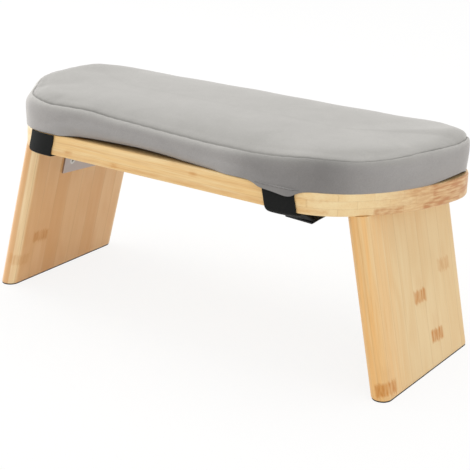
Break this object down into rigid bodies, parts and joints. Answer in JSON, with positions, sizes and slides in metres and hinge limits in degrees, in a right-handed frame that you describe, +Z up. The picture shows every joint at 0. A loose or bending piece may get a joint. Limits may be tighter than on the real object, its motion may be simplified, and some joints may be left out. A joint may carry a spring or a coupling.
{
  "type": "folding kneeling bench",
  "caption": "Low folding kneeling bench for meditation: a sloped bamboo board with rounded ends on splayed legs that fold flat on hinges, with a strapped-on grey cushion.",
  "frame": {"origin": "on the floor, at the middle of the whole object's footprint box", "axes": "+X along the seat board to the sitter's right, +Y forwards to the low front edge, +Z up"},
  "size_m": [0.4944, 0.2204, 0.2236],
  "materials": {
    "bamboo": "satin",
    "zinc_plated_steel": "satin",
    "pin_steel": "satin",
    "screw_steel": "satin",
    "pad_rubber": "matte",
    "microsuede": "matte",
    "grip_cloth": "matte",
    "foam": "matte",
    "elastic_webbing": "matte",
    "hook_tape": "matte"
  },
  "bodies": {
    "seat": {"seat_board": "bamboo", "cushion_cover": "microsuede", "cushion_base": "grip_cloth", "foam_pad": "foam", "left_seat_leaf": "zinc_plated_steel", "left_hinge_pin": "pin_steel", "left_seat_screws": "screw_steel", "left_rear_strap": "elastic_webbing", "left_front_strap": "elastic_webbing", "left_hook_tape": "hook_tape", "right_seat_leaf": "zinc_plated_steel", "right_hinge_pin": "pin_steel", "right_seat_screws": "screw_steel", "right_rear_strap": "elastic_webbing", "right_front_strap": "elastic_webbing", "right_hook_tape": "hook_tape"},
    "left_leg": {"left_leg": "bamboo", "left_foot_pad": "pad_rubber", "left_leg_leaf": "zinc_plated_steel", "left_leg_screws": "screw_steel"},
    "right_leg": {"right_leg": "bamboo", "right_foot_pad": "pad_rubber", "right_leg_leaf": "zinc_plated_steel", "right_leg_screws": "screw_steel"}
  },
  "joints": [
    {"name": "right_leg_fold", "type": "hinge", "parent": "seat", "child": "right_leg", "pos_m": [0.18609, 0.00209, 0.15701], "axis": [0, 0.9962, -0.0872], "range_deg": [0, 100], "deforming": ["right_rear_strap", "right_front_strap", "right_hook_tape"]},
    {"name": "left_leg_fold", "type": "hinge", "parent": "seat", "child": "left_leg", "pos_m": [-0.18609, 0.00209, 0.15701], "axis": [0, -0.9962, 0.0872], "range_deg": [0, 100], "deforming": ["left_rear_strap", "left_front_strap", "left_hook_tape"]}
  ]
}
